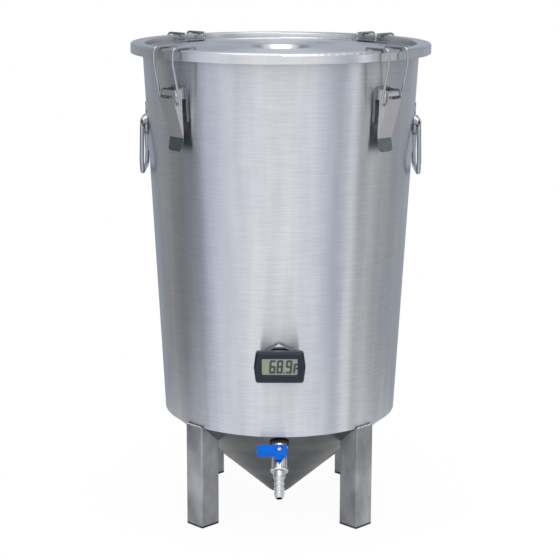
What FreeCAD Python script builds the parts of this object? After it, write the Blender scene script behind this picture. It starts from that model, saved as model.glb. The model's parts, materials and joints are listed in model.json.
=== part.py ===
"""Conical fermenter: a 26 litre stainless bucket on four legs with a clamped lid,
drop handles, a rotating racking valve and a plug-in thermometer.

Frame: millimetres, +Z up, origin on the floor under the vessel's axis, front = -Y.
"""
import FreeCAD, Part
import math
import os

V = FreeCAD.Vector
Z = V(0, 0, 1)

# ------------------------------------------------------------------ driving dimensions
# vessel
sheet = 1.0                 # wall of the bucket and the cone
body_top_r = 150.3          # outside, under the rim
body_low_r = 129.6          # outside, at the lower edge
body_low_z = 114.5
body_top_z = 512.5
taper = (body_top_r - body_low_r) / (body_top_z - body_low_z)
cone_slope = 41.5           # degrees from horizontal
slope = math.tan(math.radians(cone_slope))
cone_top_r = body_low_r - sheet - 0.02
cone_tip_r = 20.0           # outside radius of the rounded tip
cone_lap = 7.0              # height of the lap inside the bucket
# rim and lid
lid_sheet = 1.2
flange_width = 10.3         # the rim beyond the bucket
flange_r = body_top_r + flange_width
flange_lip = 3.4
skirt_gap = 1.6             # between the rim and the lid's skirt
ring_r = flange_r + skirt_gap + lid_sheet
ring_width = 15.6           # flat top of the lid's ring
ring_inner_r = ring_r - ring_width
ring_top_z = body_top_z + 11.0
ring_skirt = 11.0
hem_fold = 0.7              # thickening of the skirt's hem
hem_height = 1.6
gutter_depth = 7.6          # from the ring's top to the pan beside it
dome_rise = 4.2
dome_shoulder_r = 96.0
well_r = 58.8
neck_r = 33.0
neck_low_r = 26.0           # where the neck's sloping wall meets its floor
neck_corner = 1.5
neck_depth = 8.0
stopper_r = 22.5
stopper_lip = 6.0
gasket_thick = 4.0
# legs
leg_side = 25.4
leg_wall = 1.5
leg_corner = 1.5
leg_proud = 2.3             # the leg's outer face beyond the bucket's lower edge
leg_face_r = body_low_r + leg_proud
foot_thick = 2.2
foot_plug = 14.0
foot_wall = 2.0
leg_azimuths = {"front_right": -45, "rear_right": 45, "rear_left": 135, "front_left": -135}
# latches
pivot_z = body_top_z - 34.0
pivot_out = 11.5            # the pivot outside the wall
pivot_r = body_low_r + taper * (pivot_z - body_low_z) + pivot_out
pin_r = 2.0
rivet_head_r = 3.2
rivet_head = 1.2
spacer_r = 4.0
run_gap = 0.05              # radial clearance of what turns on a pin
side_gap = 0.3              # side clearance between parts that move past each other
latch_sheet = 1.0
ear_span = 18.6             # across the outside of the bracket's ears
ear_nose = 4.2              # the ear's rounded end about the pivot
plate_width = 23.0
plate_low_z = pivot_z - 31.0
plate_high_z = pivot_z + 7.0
plate_sheet = 1.2
hook_drop = 10.5            # the wire's hook below the pivot
wire_r = 1.4
wire_bend = 2.6
shoulder_bend = 5.0         # where the wire turns over the lid's ring
arm_half = 14.6             # centre of each wire arm from the latch's middle
arm_gap = 4.7               # between the arms and the lid's ring
arm_r = ring_r + arm_gap + wire_r
arch_gap = 0.3              # between the wire and the top of the ring
arch_z = ring_top_z + arch_gap + wire_r
grip_in = 9.3               # the crossbar inside the ring's inner wall
grip_r = ring_inner_r - grip_in
grip_gap = 0.3
lever_top_r = pivot_r + 5.7
lever_top_z = pivot_z - 4.5
lever_bend_r = pivot_r - 7.5
lever_bend_z = pivot_z - 46.0
lever_tip_r = lever_bend_r + 2.6
lever_tip_z = pivot_z - 60.0
lever_tip_half = 10.2
# drop handles
ring_z = body_top_z - 78.5
ring_rod_r = 2.5
ring_axis_out = 3.9         # the bar's centre outside the wall
ring_axis_r = body_low_r + taper * (ring_z - body_low_z) + ring_axis_out
ring_top_half = 27.0
ring_low_half = 38.0
ring_drop = 49.5
ring_bend = 6.5
handle_sheet = 1.2
handle_low_z = ring_z - 33.0
handle_high_z = ring_z + 23.5
handle_hole_r = 1.6
pocket_half_h = 11.6
pocket_half_w = 14.0
pocket_flat = 5.2           # half height of the pocket's flat crest
# thermometer
gauge_z = 200.8             # the stem's axis
stem_rise = 1.9             # the stem above the housing's middle
case_z = gauge_z - stem_rise
gauge_width = 54.0
gauge_height = 33.4
gauge_side_in = 2.2         # how far the corners lie inside the pointed sides
well_out = 12.9             # the stem's end outside the wall
well_face = body_low_r + taper * (gauge_z - body_low_z) + well_out
gauge_back = well_face + 2.0
gauge_split = gauge_back + 4.6
gauge_front = gauge_split + 5.0
gauge_wall = 1.6
gauge_bevel = 2.6
window_w = 37.4
window_h = 17.4
window_z = case_z + 0.9
window_deep = 1.3
lens_thick = 0.8
lcd_size = (2.0, 41.0, 21.5)
board_size = (1.2, 43.0, 25.0)
cell_r = 5.8
cell_thick = 2.1
well_thread_r = 10.5
well_tube_r = 4.0
well_bore_r = 3.0
well_reach = 70.0           # radius at which the thermowell ends inside
nut_flats = 34.0
nut_thick = 7.5
nut_turn = 3.0              # degrees, where the tightened nut came to rest
seal_thick = 2.6
head_r = 15.5
probe_r = 2.4
# valve; lengths along the flow run outwards from the cone's outer face
valve_in = 13.1             # its axis crosses the cone this far inside the bucket's lower edge
valve_r0 = body_low_r - valve_in
spigot_r = 6.5
spigot_in = 14.0
valve_r = 8.2
collar_r = 8.9
flow_r = 4.0
seal_ring_r = 10.6
seal_out = 2.6
seal_in = 3.0
inner_nut_flats = 22.0
inner_nut_thick = 5.0
stem_at = 15.6
ball_r = 6.4
chamber_r = 6.7
chamber_from = 8.2
seat_thick = 3.2
valve_end = 30.6
cap_r = 9.5
cap_thick = 3.0
cap_neck_r = 6.4
cap_neck_end = 40.2
barb_spigot_r = 5.0
barb_end = 63.5
barb_r = 5.7
barb_valley_r = 4.3
barb_tip_r = 4.2
barb_count = 4
barb_bore_r = 3.2
stem_r = 2.6
gland_r = 4.0
tower_wall = 1.2
gland_top = 12.6
hub_low = 10.4
hub_top = 22.0
hub_r = 8.0
hub_foot_r = 9.2
hub_wall = 0.5              # the hub beyond the grip on the cone's side
grip_len = 24.0
grip_low = 12.8
grip_top_w = 7.6
grip_low_w = 11.6
screw_r = 2.7
screw_head = 1.6
arm_bend = 60.0             # degrees between the racking arm and the valve's axis
arm_bend_r = 14.0
arm_length = 40.0
arm_tube_r = 5.0
arm_bore_r = 3.9
# cutting blanks that reach from well inside the bucket to well outside it
blank_from = ring_r / 2
blank_deep = ring_r


# ------------------------------------------------------------------ helpers
def body_r(z, offset=0.0):
    """Outside radius of the tapered bucket at height z, moved out by offset."""
    return body_low_r + taper * (z - body_low_z) + offset


def tapered(offset, low_z, high_z):
    """Solid inside the bucket's surface moved out by offset."""
    low_r, high_r = body_r(low_z, offset), body_r(high_z, offset)
    return Part.makeCone(low_r, high_r, high_z - low_z, V(0, 0, low_z), Z)


def path(start, *steps):
    """Wire through 2-D points in XZ; a step is a point, or (mid, end) of an arc."""
    edges = []
    here = V(start[0], 0, start[1])
    for step in steps:
        if isinstance(step[0], tuple):
            mid, end = (V(p[0], 0, p[1]) for p in step)
            edges.append(Part.Arc(here, mid, end).toShape())
        else:
            end = V(step[0], 0, step[1])
            edges.append(Part.LineSegment(here, end).toShape())
        here = end
    return Part.Wire(edges)


def turned(start, *steps):
    """Solid of revolution about Z from a closed XZ outline."""
    return Part.Face(path(start, *steps, start)).revolve(V(0, 0, 0), Z, 360)


def corner(before, at, after, radius):
    """Arc that rounds a 2-D corner: its first point, middle and last point."""
    a = V(before[0] - at[0], before[1] - at[1], 0)
    b = V(after[0] - at[0], after[1] - at[1], 0)
    a.normalize()
    b.normalize()
    half = a.getAngle(b) / 2
    reach = radius / math.tan(half)
    middle = a + b
    middle.normalize()
    gap = radius / math.sin(half) - radius
    spot = V(at[0], at[1], 0)
    points = [spot + a * reach, spot + middle * gap, spot + b * reach]
    return [(p.x, p.y) for p in points]


def rounded(points, radii):
    """Closed 2-D outline with each corner rounded by its radius (0 keeps it sharp)."""
    rows = []
    count = len(points)
    for i, (at, radius) in enumerate(zip(points, radii)):
        if radius:
            rows.append(corner(points[i - 1], at, points[(i + 1) % count], radius))
        else:
            rows.append([at])
    return rows


def outline_face(rows, lift):
    """Face from rounded() rows; lift turns a 2-D point into a 3-D one."""
    edges = []
    for i, row in enumerate(rows):
        if len(row) == 3:
            edges.append(Part.Arc(*[lift(p) for p in row]).toShape())
        end = lift(rows[(i + 1) % len(rows)][0])
        start = lift(row[-1])
        if start.distanceToPoint(end) > 1e-6:
            edges.append(Part.LineSegment(start, end).toShape())
    return Part.Face(Part.Wire(edges))


def side_plate(points, radii, y, thick):
    """Plate of an outline in the radial plane, from y to y + thick."""
    face = outline_face(rounded(points, radii), lambda p: V(p[0], y, p[1]))
    return face.extrude(V(0, thick, 0))


def front_plate(points, radii, x, thick):
    """Plate of an outline seen from outside (across, height), from x outwards."""
    face = outline_face(rounded(points, radii), lambda p: V(x, p[0], p[1]))
    return face.extrude(V(thick, 0, 0))


def bar(radius, start, end):
    way = V(*end) - V(*start)
    return Part.makeCylinder(radius, way.Length, V(*start), way)


def pipe(points, bends, radius):
    """Round bar along straight runs joined by tangent arcs, one bend radius per corner."""
    points = [V(*p) for p in points]
    edges = []
    here = points[0]
    for before, at, after, bend in zip(points, points[1:], points[2:], bends):
        a = (before - at).normalize()
        b = (after - at).normalize()
        half = a.getAngle(b) / 2
        reach = bend / math.tan(half)
        first, last = at + a * reach, at + b * reach
        middle = at + (a + b).normalize() * (bend / math.sin(half) - bend)
        edges.append(Part.LineSegment(here, first).toShape())
        edges.append(Part.Arc(first, middle, last).toShape())
        here = last
    edges.append(Part.LineSegment(here, points[-1]).toShape())
    spine = Part.Wire(edges)
    ring = Part.Wire(Part.Circle(points[0], points[1] - points[0], radius).toShape())
    return spine.makePipeShell([ring], True, False)


def hexagon(flats, low, high, turn=0.0):
    """Hexagonal prism about Z with a light chamfer on both faces."""
    across = flats / math.sqrt(3)
    angles = [math.radians(60 * i + turn) for i in range(7)]
    ring = [V(across * math.cos(angle), across * math.sin(angle), low) for angle in angles]
    prism = Part.Face(Part.makePolygon(ring)).extrude(V(0, 0, high - low))
    cut = (across - flats / 2) * 0.8
    ease = cut * 0.5
    round_off = turned((0, low), (across - cut, low), (across, low + ease), (across, high - ease),
                       (across - cut, high), (0, high))
    return prism.common(round_off)


def along_radius(shape):
    """Turn a shape built about Z so that Z points outwards along +X."""
    shape = shape.copy()
    shape.rotate(V(0, 0, 0), V(0, 1, 0), 90)
    return shape


def facing(shape, azimuth):
    """Copy of a shape built at azimuth 0, carried round the axis."""
    shape = shape.copy()
    shape.rotate(V(0, 0, 0), Z, azimuth)
    return shape


parts = {}


def keep(name, shape):
    """Record a sub-part; several solids stay a group."""
    solids = shape.Solids
    parts[name] = solids[0] if len(solids) == 1 else Part.makeCompound(solids)


# ------------------------------------------------------------------ vessel
def vessel_shell():
    """Rolled and tapered bucket with a flared, turned-down rim."""
    flange_z = ring_top_z - lid_sheet - gasket_thick
    neck = body_r(flange_z - 3)
    wall = turned(
        (body_low_r - sheet, body_low_z), (body_low_r, body_low_z), (neck, flange_z - 3),
        ((neck + 0.8, flange_z - sheet - 0.6), (neck + 2.2, flange_z - sheet)),
        (flange_r - 1.6, flange_z - sheet), (flange_r - sheet, flange_z - sheet - 0.6),
        (flange_r - sheet, flange_z - flange_lip), (flange_r, flange_z - flange_lip),
        (flange_r, flange_z - 1.2), (flange_r - 1.2, flange_z),
        (neck + 1.4, flange_z), ((neck - 0.4, flange_z - 0.9), (neck - sheet, flange_z - 3)),
    )
    gauge_hole = bar(well_thread_r + 0.1, (blank_from, 0, gauge_z), (body_top_r, 0, gauge_z))
    return wall.cut(facing(gauge_hole, -90))


def cone_outside():
    """Heights and radii of the cone's outer line."""
    tip_z = body_low_z - cone_top_r * slope
    angle = math.radians(cone_slope)
    centre_z = tip_z + cone_tip_r / math.cos(angle)
    touch = (cone_tip_r * math.sin(angle), centre_z - cone_tip_r * math.cos(angle))
    return tip_z, centre_z, touch


def cone_solid(inset, top_z):
    """Solid cone with the rounded tip, its surface moved in by inset, up to top_z."""
    angle = math.radians(cone_slope)
    tip_z, centre_z, _ = cone_outside()
    radius = cone_tip_r - inset
    touch = (radius * math.sin(angle), centre_z - radius * math.cos(angle))
    middle = (radius * math.sin(angle / 2), centre_z - radius * math.cos(angle / 2))
    rim_r = touch[0] + (top_z - touch[1]) / slope
    return turned((0, centre_z - radius), (middle, touch), (rim_r, top_z), (0, top_z))


def cone_bottom():
    """Spun cone that laps inside the bucket, with the valve's hole."""
    lap_z = body_low_z + cone_lap
    outer = cone_solid(0, body_low_z)
    lap = Part.makeCone(cone_top_r, cone_top_r + taper * cone_lap, cone_lap, V(0, 0, body_low_z), Z)
    solid = outer.fuse(lap)
    inner = cone_solid(sheet, body_low_z + sheet)
    core = inner.fuse(Part.makeCone(cone_top_r - sheet, cone_top_r - sheet + taper * (cone_lap + 1),
                                    cone_lap + 1, V(0, 0, body_low_z), Z))
    shell = solid.cut(core)
    return shell.cut(place_valve(bar(spigot_r + 0.1, (0, 0, -12), (0, 0, 12)))).removeSplitter()


# ------------------------------------------------------------------ lid
def lid():
    """Pressed lid: outer ring and skirt, gutter, shallow dome, well and stopper neck."""
    t = lid_sheet
    top = ring_top_z
    low = top - ring_skirt
    pan = top - gutter_depth
    dome = pan + dome_rise
    neck_top = dome - 1.8
    floor = neck_top - neck_depth
    skirt = ring_r - t
    hem = skirt - hem_fold
    wall = ring_inner_r + t
    neck_high = corner((well_r, dome), (neck_r, neck_top), (neck_low_r, floor), neck_corner)
    neck_low = corner((neck_r, neck_top), (neck_low_r, floor), (stopper_r, floor), neck_corner)
    outline = [
        (ring_r - 0.6, low), ((ring_r - 0.18, low + 0.18), (ring_r, low + 0.6)),
        (ring_r, top - 2.5), ((ring_r - 0.73, top - 0.73), (ring_r - 2.5, top)),
        (ring_inner_r + 1.5, top), ((ring_inner_r + 0.44, top - 0.44), (ring_inner_r, top - 1.5)),
        (ring_inner_r - 0.3, pan + 2.0), ((ring_inner_r - 0.9, pan + 0.6), (ring_inner_r - 2.3, pan)),
        (grip_r - 4, pan), ((dome_shoulder_r, dome - 0.7), (well_r + 1.0, dome)),
        ((well_r, dome - 0.2), (well_r - 1.0, dome - 0.7)),
        neck_high[0], (neck_high[1], neck_high[2]), neck_low[0], (neck_low[1], neck_low[2]),
        (stopper_r + 1.2, floor), ((stopper_r + 0.35, floor - 0.35), (stopper_r, floor - 1.2)),
        (stopper_r, floor - stopper_lip), (stopper_r + t, floor - stopper_lip),
        (stopper_r + t, floor - t), (neck_low_r + t / 2, floor - t),
        (neck_r + t, neck_top - t), (well_r - 0.8, dome - 0.7 - t),
        (well_r + 1.0, dome - t), ((dome_shoulder_r, dome - 0.7 - t), (grip_r - 4, pan - t)),
        (wall - 1.2, pan - t), (wall, pan + 0.4), (wall, top - t), (skirt, top - t),
        (skirt, low + hem_height + hem_fold), (hem, low + hem_height), (hem, low + 0.6),
        ((hem + 0.18, low + 0.18), (hem + 0.6, low)),
    ]
    return turned(*outline)


def lid_gasket():
    """Flat silicone ring between the rim and the lid's ring."""
    low = ring_top_z - lid_sheet - gasket_thick
    inner, outer = body_r(low) + 2.4, flange_r - 1.4
    return Part.makeCylinder(outer, gasket_thick, V(0, 0, low), Z).cut(
        Part.makeCylinder(inner, gasket_thick, V(0, 0, low), Z))


# ------------------------------------------------------------------ legs
def upright(box):
    """Vertical edges of a box."""
    return [e for e in box.Edges if abs(e.tangentAt(e.FirstParameter).z) > 0.9]


def leg():
    """Square tube coped to the cone, its top closed against the bucket's edge."""
    half = leg_side / 2
    inside = leg_face_r - leg_side
    top = body_low_z + 1.0
    tube = Part.makeBox(leg_side, leg_side, top, V(inside, -half, 0))
    tube = tube.makeFillet(leg_corner, upright(tube))
    bore = Part.makeBox(leg_side - 2 * leg_wall, leg_side - 2 * leg_wall, top,
                        V(inside + leg_wall, leg_wall - half, 0))
    above_foot = Part.makeBox(2 * ring_r, 2 * ring_r, top - foot_thick, V(-ring_r, -ring_r, foot_thick))
    tube = tube.cut(bore).common(above_foot)
    return tube.cut(cone_solid(0, body_low_z)).cut(tapered(0, body_low_z - 0.01, body_low_z + 40))


def foot():
    """Moulded end cap: a thin tread and a plug inside the tube."""
    half = leg_side / 2
    inside = leg_face_r - leg_side
    tread = Part.makeBox(leg_side, leg_side, foot_thick, V(inside, -half, 0))
    tread = tread.makeFillet(leg_corner, upright(tread))
    plug_side = leg_side - 2 * leg_wall - 0.2
    plug_x = leg_face_r - half - plug_side / 2
    plug = Part.makeBox(plug_side, plug_side, foot_plug, V(plug_x, -plug_side / 2, foot_thick))
    inner = plug_side - 2 * foot_wall
    hollow = Part.makeBox(inner, inner, foot_plug, V(plug_x + foot_wall, -inner / 2, foot_thick + 1))
    return tread.fuse(plug).cut(hollow).removeSplitter()


# ------------------------------------------------------------------ latches
ear_out = ear_span / 2
cheek_in = ear_out + side_gap
cheek_out = cheek_in + latch_sheet
hook_z = pivot_z - hook_drop
grip_z = ring_top_z - gutter_depth + wire_r + grip_gap


def across(radius, r, z):
    """Bar across a latch, wider than the latch itself."""
    return bar(radius, (r, -plate_width, z), (r, plate_width, z))


def latch_bracket():
    """Spot-welded plate curved to the bucket, with two ears that carry the pivot."""
    half = plate_width / 2
    corners = [(-half, plate_low_z), (half, plate_low_z), (half, plate_high_z), (-half, plate_high_z)]
    blank = front_plate(corners, [4, 4, 3, 3], blank_from, blank_deep)
    plate = tapered(plate_sheet, plate_low_z - 5, plate_high_z + 5)
    plate = plate.cut(tapered(0, plate_low_z - 6, plate_high_z + 6)).common(blank)
    root = body_r(pivot_z) + 0.4
    nose = ear_nose
    shape = [(root, pivot_z - 6), (pivot_r, pivot_z - nose), (pivot_r + nose, pivot_z - nose),
             (pivot_r + nose, pivot_z + nose), (pivot_r, pivot_z + nose), (root, pivot_z + 6.5)]
    for side in (-1, 1):
        y = ear_out - latch_sheet if side > 0 else -ear_out
        ear = side_plate(shape, [0, 0, nose - 0.01, nose - 0.01, 0, 0], y, latch_sheet)
        plate = plate.fuse(ear.cut(tapered(0, plate_low_z, plate_high_z + 10)))
    return plate.cut(across(pin_r, pivot_r, pivot_z))


def latch_pin():
    """Rivet through the ears and the lever's cheeks."""
    reach = cheek_out + side_gap
    shank = bar(pin_r, (pivot_r, -reach, pivot_z), (pivot_r, reach, pivot_z))
    for side in (-1, 1):
        foot_of_head = V(pivot_r, side * reach, pivot_z)
        head = Part.makeCone(rivet_head_r, rivet_head_r - 1.0, rivet_head, foot_of_head, V(0, side, 0))
        shank = shank.fuse(head)
    return shank


def latch_spacer():
    """Bright sleeve round the rivet between the ears."""
    reach = ear_out - latch_sheet
    sleeve = bar(spacer_r, (pivot_r, -reach, pivot_z), (pivot_r, reach, pivot_z))
    return sleeve.cut(across(pin_r, pivot_r, pivot_z))


def latch_lever():
    """Folded lever: sloping face, two tapering cheeks and a flared finger tab."""
    t = latch_sheet
    lean = math.atan2(lever_top_r - lever_bend_r, lever_top_z - lever_bend_z)
    inward = t / math.cos(lean)
    face_line = [(lever_top_r, lever_top_z), (lever_bend_r, lever_bend_z), (lever_tip_r, lever_tip_z),
                 (lever_tip_r - t, lever_tip_z), (lever_bend_r - inward, lever_bend_z - 0.3),
                 (lever_top_r - inward, lever_top_z)]
    sheet_blank = side_plate(face_line, [0, 3, 0, 0, 2, 0], -cheek_out, 2 * cheek_out)
    waist_z = lever_bend_z + 8
    crown_z = pivot_z + hook_drop
    front = [(-lever_tip_half, lever_tip_z), (lever_tip_half, lever_tip_z),
             (lever_tip_half + 0.1, lever_bend_z), (cheek_out, waist_z), (cheek_out, crown_z),
             (-cheek_out, crown_z), (-cheek_out, waist_z), (-lever_tip_half - 0.1, lever_bend_z)]
    seen = front_plate(front, [4, 4, 0, 0, 0, 0, 0, 0], blank_from, blank_deep)
    cheek_line = [(lever_top_r, lever_top_z), (pivot_r + 5.4, pivot_z + 1.5), (pivot_r + 5.4, pivot_z + 5.2),
                  (pivot_r - 6.0, pivot_z + 5.2), (pivot_r - 6.4, hook_z - 3),
                  (lever_bend_r - 0.6, lever_bend_z + 3), (lever_bend_r + 0.9, lever_bend_z + 3)]
    lever = sheet_blank
    for y in (cheek_in, -cheek_out):
        lever = lever.fuse(side_plate(cheek_line, [0, 1, 5, 5, 4, 0, 0], y, t))
    lever = lever.common(seen)
    lever = lever.cut(across(pin_r + run_gap, pivot_r, pivot_z))
    return lever.cut(across(wire_r + run_gap, pivot_r, hook_z)).removeSplitter()


def latch_bail():
    """Spring-wire loop: hooks in the lever's cheeks, arms over the ring, crossbar on the pan."""
    inner = ear_out - latch_sheet
    side = [(pivot_r, inner, hook_z), (pivot_r, arm_half, hook_z), (arm_r, arm_half, body_top_z - 3),
            (arm_r, arm_half, arch_z), (grip_r, arm_half, arch_z), (grip_r, arm_half, grip_z)]
    other = [(x, -y, z) for x, y, z in reversed(side)]
    bends = [wire_bend, wire_bend, shoulder_bend, wire_bend, wire_bend]
    return pipe(side + other, bends + bends[::-1], wire_r)


# ------------------------------------------------------------------ drop handles
def handle_plate():
    """Pressed plate with a lobe above and below and a pocket over the ring's bar."""
    high = ring_z + pocket_half_h
    low = ring_z - pocket_half_h
    right = [(8.5, handle_low_z + 14), (pocket_half_w, low - 1), (pocket_half_w, high + 1),
             (8.0, handle_high_z - 9), (5.5, handle_high_z)]
    left = [(-y, z) for y, z in reversed(right)]
    blank = front_plate([(0, handle_low_z)] + right + left, [3, 6, 4, 4, 5, 4, 4, 5, 4, 4, 6],
                        blank_from, blank_deep)
    skin = tapered(handle_sheet, handle_low_z - 5, handle_high_z + 5)
    skin = skin.cut(tapered(0, handle_low_z - 6, handle_high_z + 6)).common(blank)
    root = body_r(ring_z) + 0.2
    peak = ring_axis_r + ring_rod_r + run_gap + handle_sheet
    crest = pocket_flat
    hump = [(root, low), (peak - 1.2, ring_z - crest - 2), (peak, ring_z - crest),
            (peak, ring_z + crest), (peak - 1.2, ring_z + crest + 2), (root, high)]
    half = pocket_half_w
    pocket = side_plate(hump, [0, 2.5, 2.5, 2.5, 2.5, 0], -half + 1, 2 * half - 2)
    deep = root - 6
    under = peak - handle_sheet
    inner = crest - 0.7
    hollow = [(deep, low + 1.6), (root, low + 1.6), (under - 0.6, ring_z - inner - 1.4),
              (under, ring_z - inner), (under, ring_z + inner), (under - 0.6, ring_z + inner + 1.4),
              (root, high - 1.6), (deep, high - 1.6)]
    hollow = side_plate(hollow, [0, 0, 1.5, 1.5, 1.5, 1.5, 0, 0], -half, 2 * half)
    plate = skin.fuse(pocket.cut(tapered(0, low - handle_sheet, high + handle_sheet))).cut(hollow)
    hole_z = handle_high_z - 6
    hole = bar(handle_hole_r, (blank_from, 0, hole_z), (ring_r, 0, hole_z))
    return plate.cut(hole).removeSplitter()


def handle_ring():
    """Closed D of round bar that hangs from the pocket."""
    low_z = ring_z - ring_drop
    x = ring_axis_r
    ends = [(x, 0, ring_z), (x, ring_top_half, ring_z), (x, ring_low_half, low_z + 14),
            (x, ring_low_half - 8, low_z), (x, 0, low_z)]
    half = pipe(ends, [ring_bend] * 3, ring_rod_r)
    other = half.mirror(V(0, 0, 0), V(0, 1, 0))
    return half.fuse(other).removeSplitter()


# ------------------------------------------------------------------ thermometer
def gauge_outline(grow):
    """Corners of the housing's front: sides that come to a blunt point at mid height."""
    w = gauge_width / 2 + grow
    h = gauge_height / 2 + grow
    inner = w - gauge_side_in
    return [(-inner, case_z - h), (inner, case_z - h), (w, case_z), (inner, case_z + h),
            (-inner, case_z + h), (-w, case_z)]


def gauge_block(grow, x, thick):
    corner_r = max(3.2 + grow, 1.0)
    return front_plate(gauge_outline(grow), [corner_r, corner_r, 6, corner_r, corner_r, 6], x, thick)


def box_at(size, x, y, z):
    """Box with its near face at x, centred on y and z."""
    return Part.makeBox(size[0], size[1], size[2], V(x, y - size[1] / 2, z - size[2] / 2))


lens_x = gauge_front - window_deep - lens_thick
lcd_x = lens_x - 0.1 - lcd_size[0]
board_x = lcd_x - 0.1 - board_size[0]


def thermometer_back():
    """Rear shell with the collar that plugs onto the thermowell."""
    shell = gauge_block(0, gauge_back, gauge_split - gauge_back)
    shell = shell.cut(gauge_block(-gauge_wall, gauge_back + gauge_wall, gauge_split))
    socket = well_thread_r + 0.1
    collar = bar(socket + 2.2, (well_face - 2, 0, gauge_z), (gauge_back + 0.5, 0, gauge_z))
    shell = shell.fuse(collar)
    shell = shell.cut(bar(socket, (well_face - 4, 0, gauge_z), (gauge_back, 0, gauge_z)))
    probe_way = bar(probe_r + 0.1, (gauge_back - 1, 0, gauge_z), (gauge_split, 0, gauge_z))
    return shell.cut(probe_way).removeSplitter()


def thermometer_bezel():
    """Bevelled front frame with the recessed window opening."""
    depth = gauge_front - gauge_split
    base = gauge_block(0, gauge_split, depth - gauge_bevel)
    low = outline_face(rounded(gauge_outline(0), [3.2, 3.2, 6, 3.2, 3.2, 6]),
                       lambda p: V(gauge_front - gauge_bevel, p[0], p[1]))
    high = outline_face(rounded(gauge_outline(-gauge_bevel * 0.8), [1.6, 1.6, 6, 1.6, 1.6, 6]),
                        lambda p: V(gauge_front, p[0], p[1]))
    bevel = Part.makeLoft([low.OuterWire, high.OuterWire], True, True)
    frame = base.fuse(bevel).removeSplitter()
    frame = frame.cut(gauge_block(-gauge_wall, gauge_split - 1, lens_x - gauge_split + 1))
    opening = window_opening(0, lens_x - 1, gauge_front + 1 - (lens_x - 1))
    return frame.cut(opening).cut(window_flare())


def window_opening(grow, x, thick):
    w, h = window_w / 2 + grow, window_h / 2 + grow
    z = window_z
    return front_plate([(-w, z - h), (w, z - h), (w, z + h), (-w, z + h)], [1.4] * 4, x, thick)


def window_flare():
    """Sloping lip round the window opening."""
    z = window_z
    wires = []
    for grow, x in ((0.0, gauge_front - 0.8), (1.0, gauge_front + 0.001)):
        w, h = window_w / 2 + grow, window_h / 2 + grow
        face = outline_face(rounded([(-w, z - h), (w, z - h), (w, z + h), (-w, z + h)], [1.4 + grow] * 4),
                            lambda p, x=x: V(x, p[0], p[1]))
        wires.append(face.OuterWire)
    return Part.makeLoft(wires, True, True)


def thermometer_lens():
    return window_opening(0, lens_x, lens_thick)


def thermometer_display():
    """Glass sandwich behind the lens."""
    return box_at(lcd_size, lcd_x, 0, window_z)


def thermometer_board():
    return box_at(board_size, board_x, 0, case_z)


def thermometer_cell():
    """Coin cell lying flat against the back of the board."""
    y = gauge_width / 2 - gauge_wall - cell_r - 6
    return bar(cell_r, (board_x - cell_thick, y, case_z), (board_x, y, case_z))


def thermometer_probe():
    return bar(probe_r, (well_reach + 4, 0, gauge_z), (board_x, 0, gauge_z))


def thermowell():
    """Turned stem through the wall: inside head, threaded shank, closed tube."""
    head_x = body_r(gauge_z) - sheet - seal_thick
    tube = bar(well_tube_r, (well_reach + well_tube_r, 0, gauge_z), (head_x, 0, gauge_z))
    tip = Part.makeSphere(well_tube_r, V(well_reach + well_tube_r, 0, gauge_z))
    head = bar(head_r, (head_x - 3, 0, gauge_z), (head_x, 0, gauge_z))
    shank = bar(well_thread_r, (head_x, 0, gauge_z), (well_face, 0, gauge_z))
    bore = bar(well_bore_r, (well_reach + 3, 0, gauge_z), (well_face + 1, 0, gauge_z))
    return tube.fuse([tip, head, shank]).removeSplitter().cut(bore)


def wall_washer(inner_face, outer_face):
    """Silicone washer cut to the curved wall; flat on its other side."""
    ring = bar(head_r - 0.5, (inner_face, 0, gauge_z), (outer_face, 0, gauge_z))
    return ring.cut(bar(well_thread_r, (inner_face - 1, 0, gauge_z), (outer_face + 1, 0, gauge_z)))


def thermowell_seals():
    """Inside and outside washers."""
    surface = body_r(gauge_z)
    near, far = gauge_z - 40, gauge_z + 40
    inside = wall_washer(surface - sheet - seal_thick, surface + 2).common(tapered(-sheet, near, far))
    outside = wall_washer(surface - 6, surface + seal_thick).cut(tapered(0, near, far))
    return Part.makeCompound([inside, outside])


def thermowell_nut():
    surface = body_r(gauge_z) + seal_thick
    nut = along_radius(hexagon(nut_flats, surface, surface + nut_thick, nut_turn))
    nut.translate(V(0, 0, gauge_z))
    return nut.cut(bar(well_thread_r, (surface - 1, 0, gauge_z), (surface + nut_thick + 1, 0, gauge_z)))


# ------------------------------------------------------------------ racking valve
# Built about Z (the flow, outwards) with the stem along +X and the closed grip along +Y.
def place_valve(shape):
    """Carry a valve shape to the front of the cone, square to its surface."""
    base_z = body_low_z - (cone_top_r - valve_r0) * slope
    shape = shape.copy()
    shape.rotate(V(0, 0, 0), Z, 180)
    shape.rotate(V(0, 0, 0), V(0, 1, 0), 180 - cone_slope)
    shape.translate(V(valve_r0, 0, base_z))
    return facing(shape, -90)


def tube_about(outer, inner, low, high):
    ring = Part.makeCylinder(outer, high - low, V(0, 0, low), Z)
    return ring.cut(Part.makeCylinder(inner, high - low, V(0, 0, low), Z))


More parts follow.
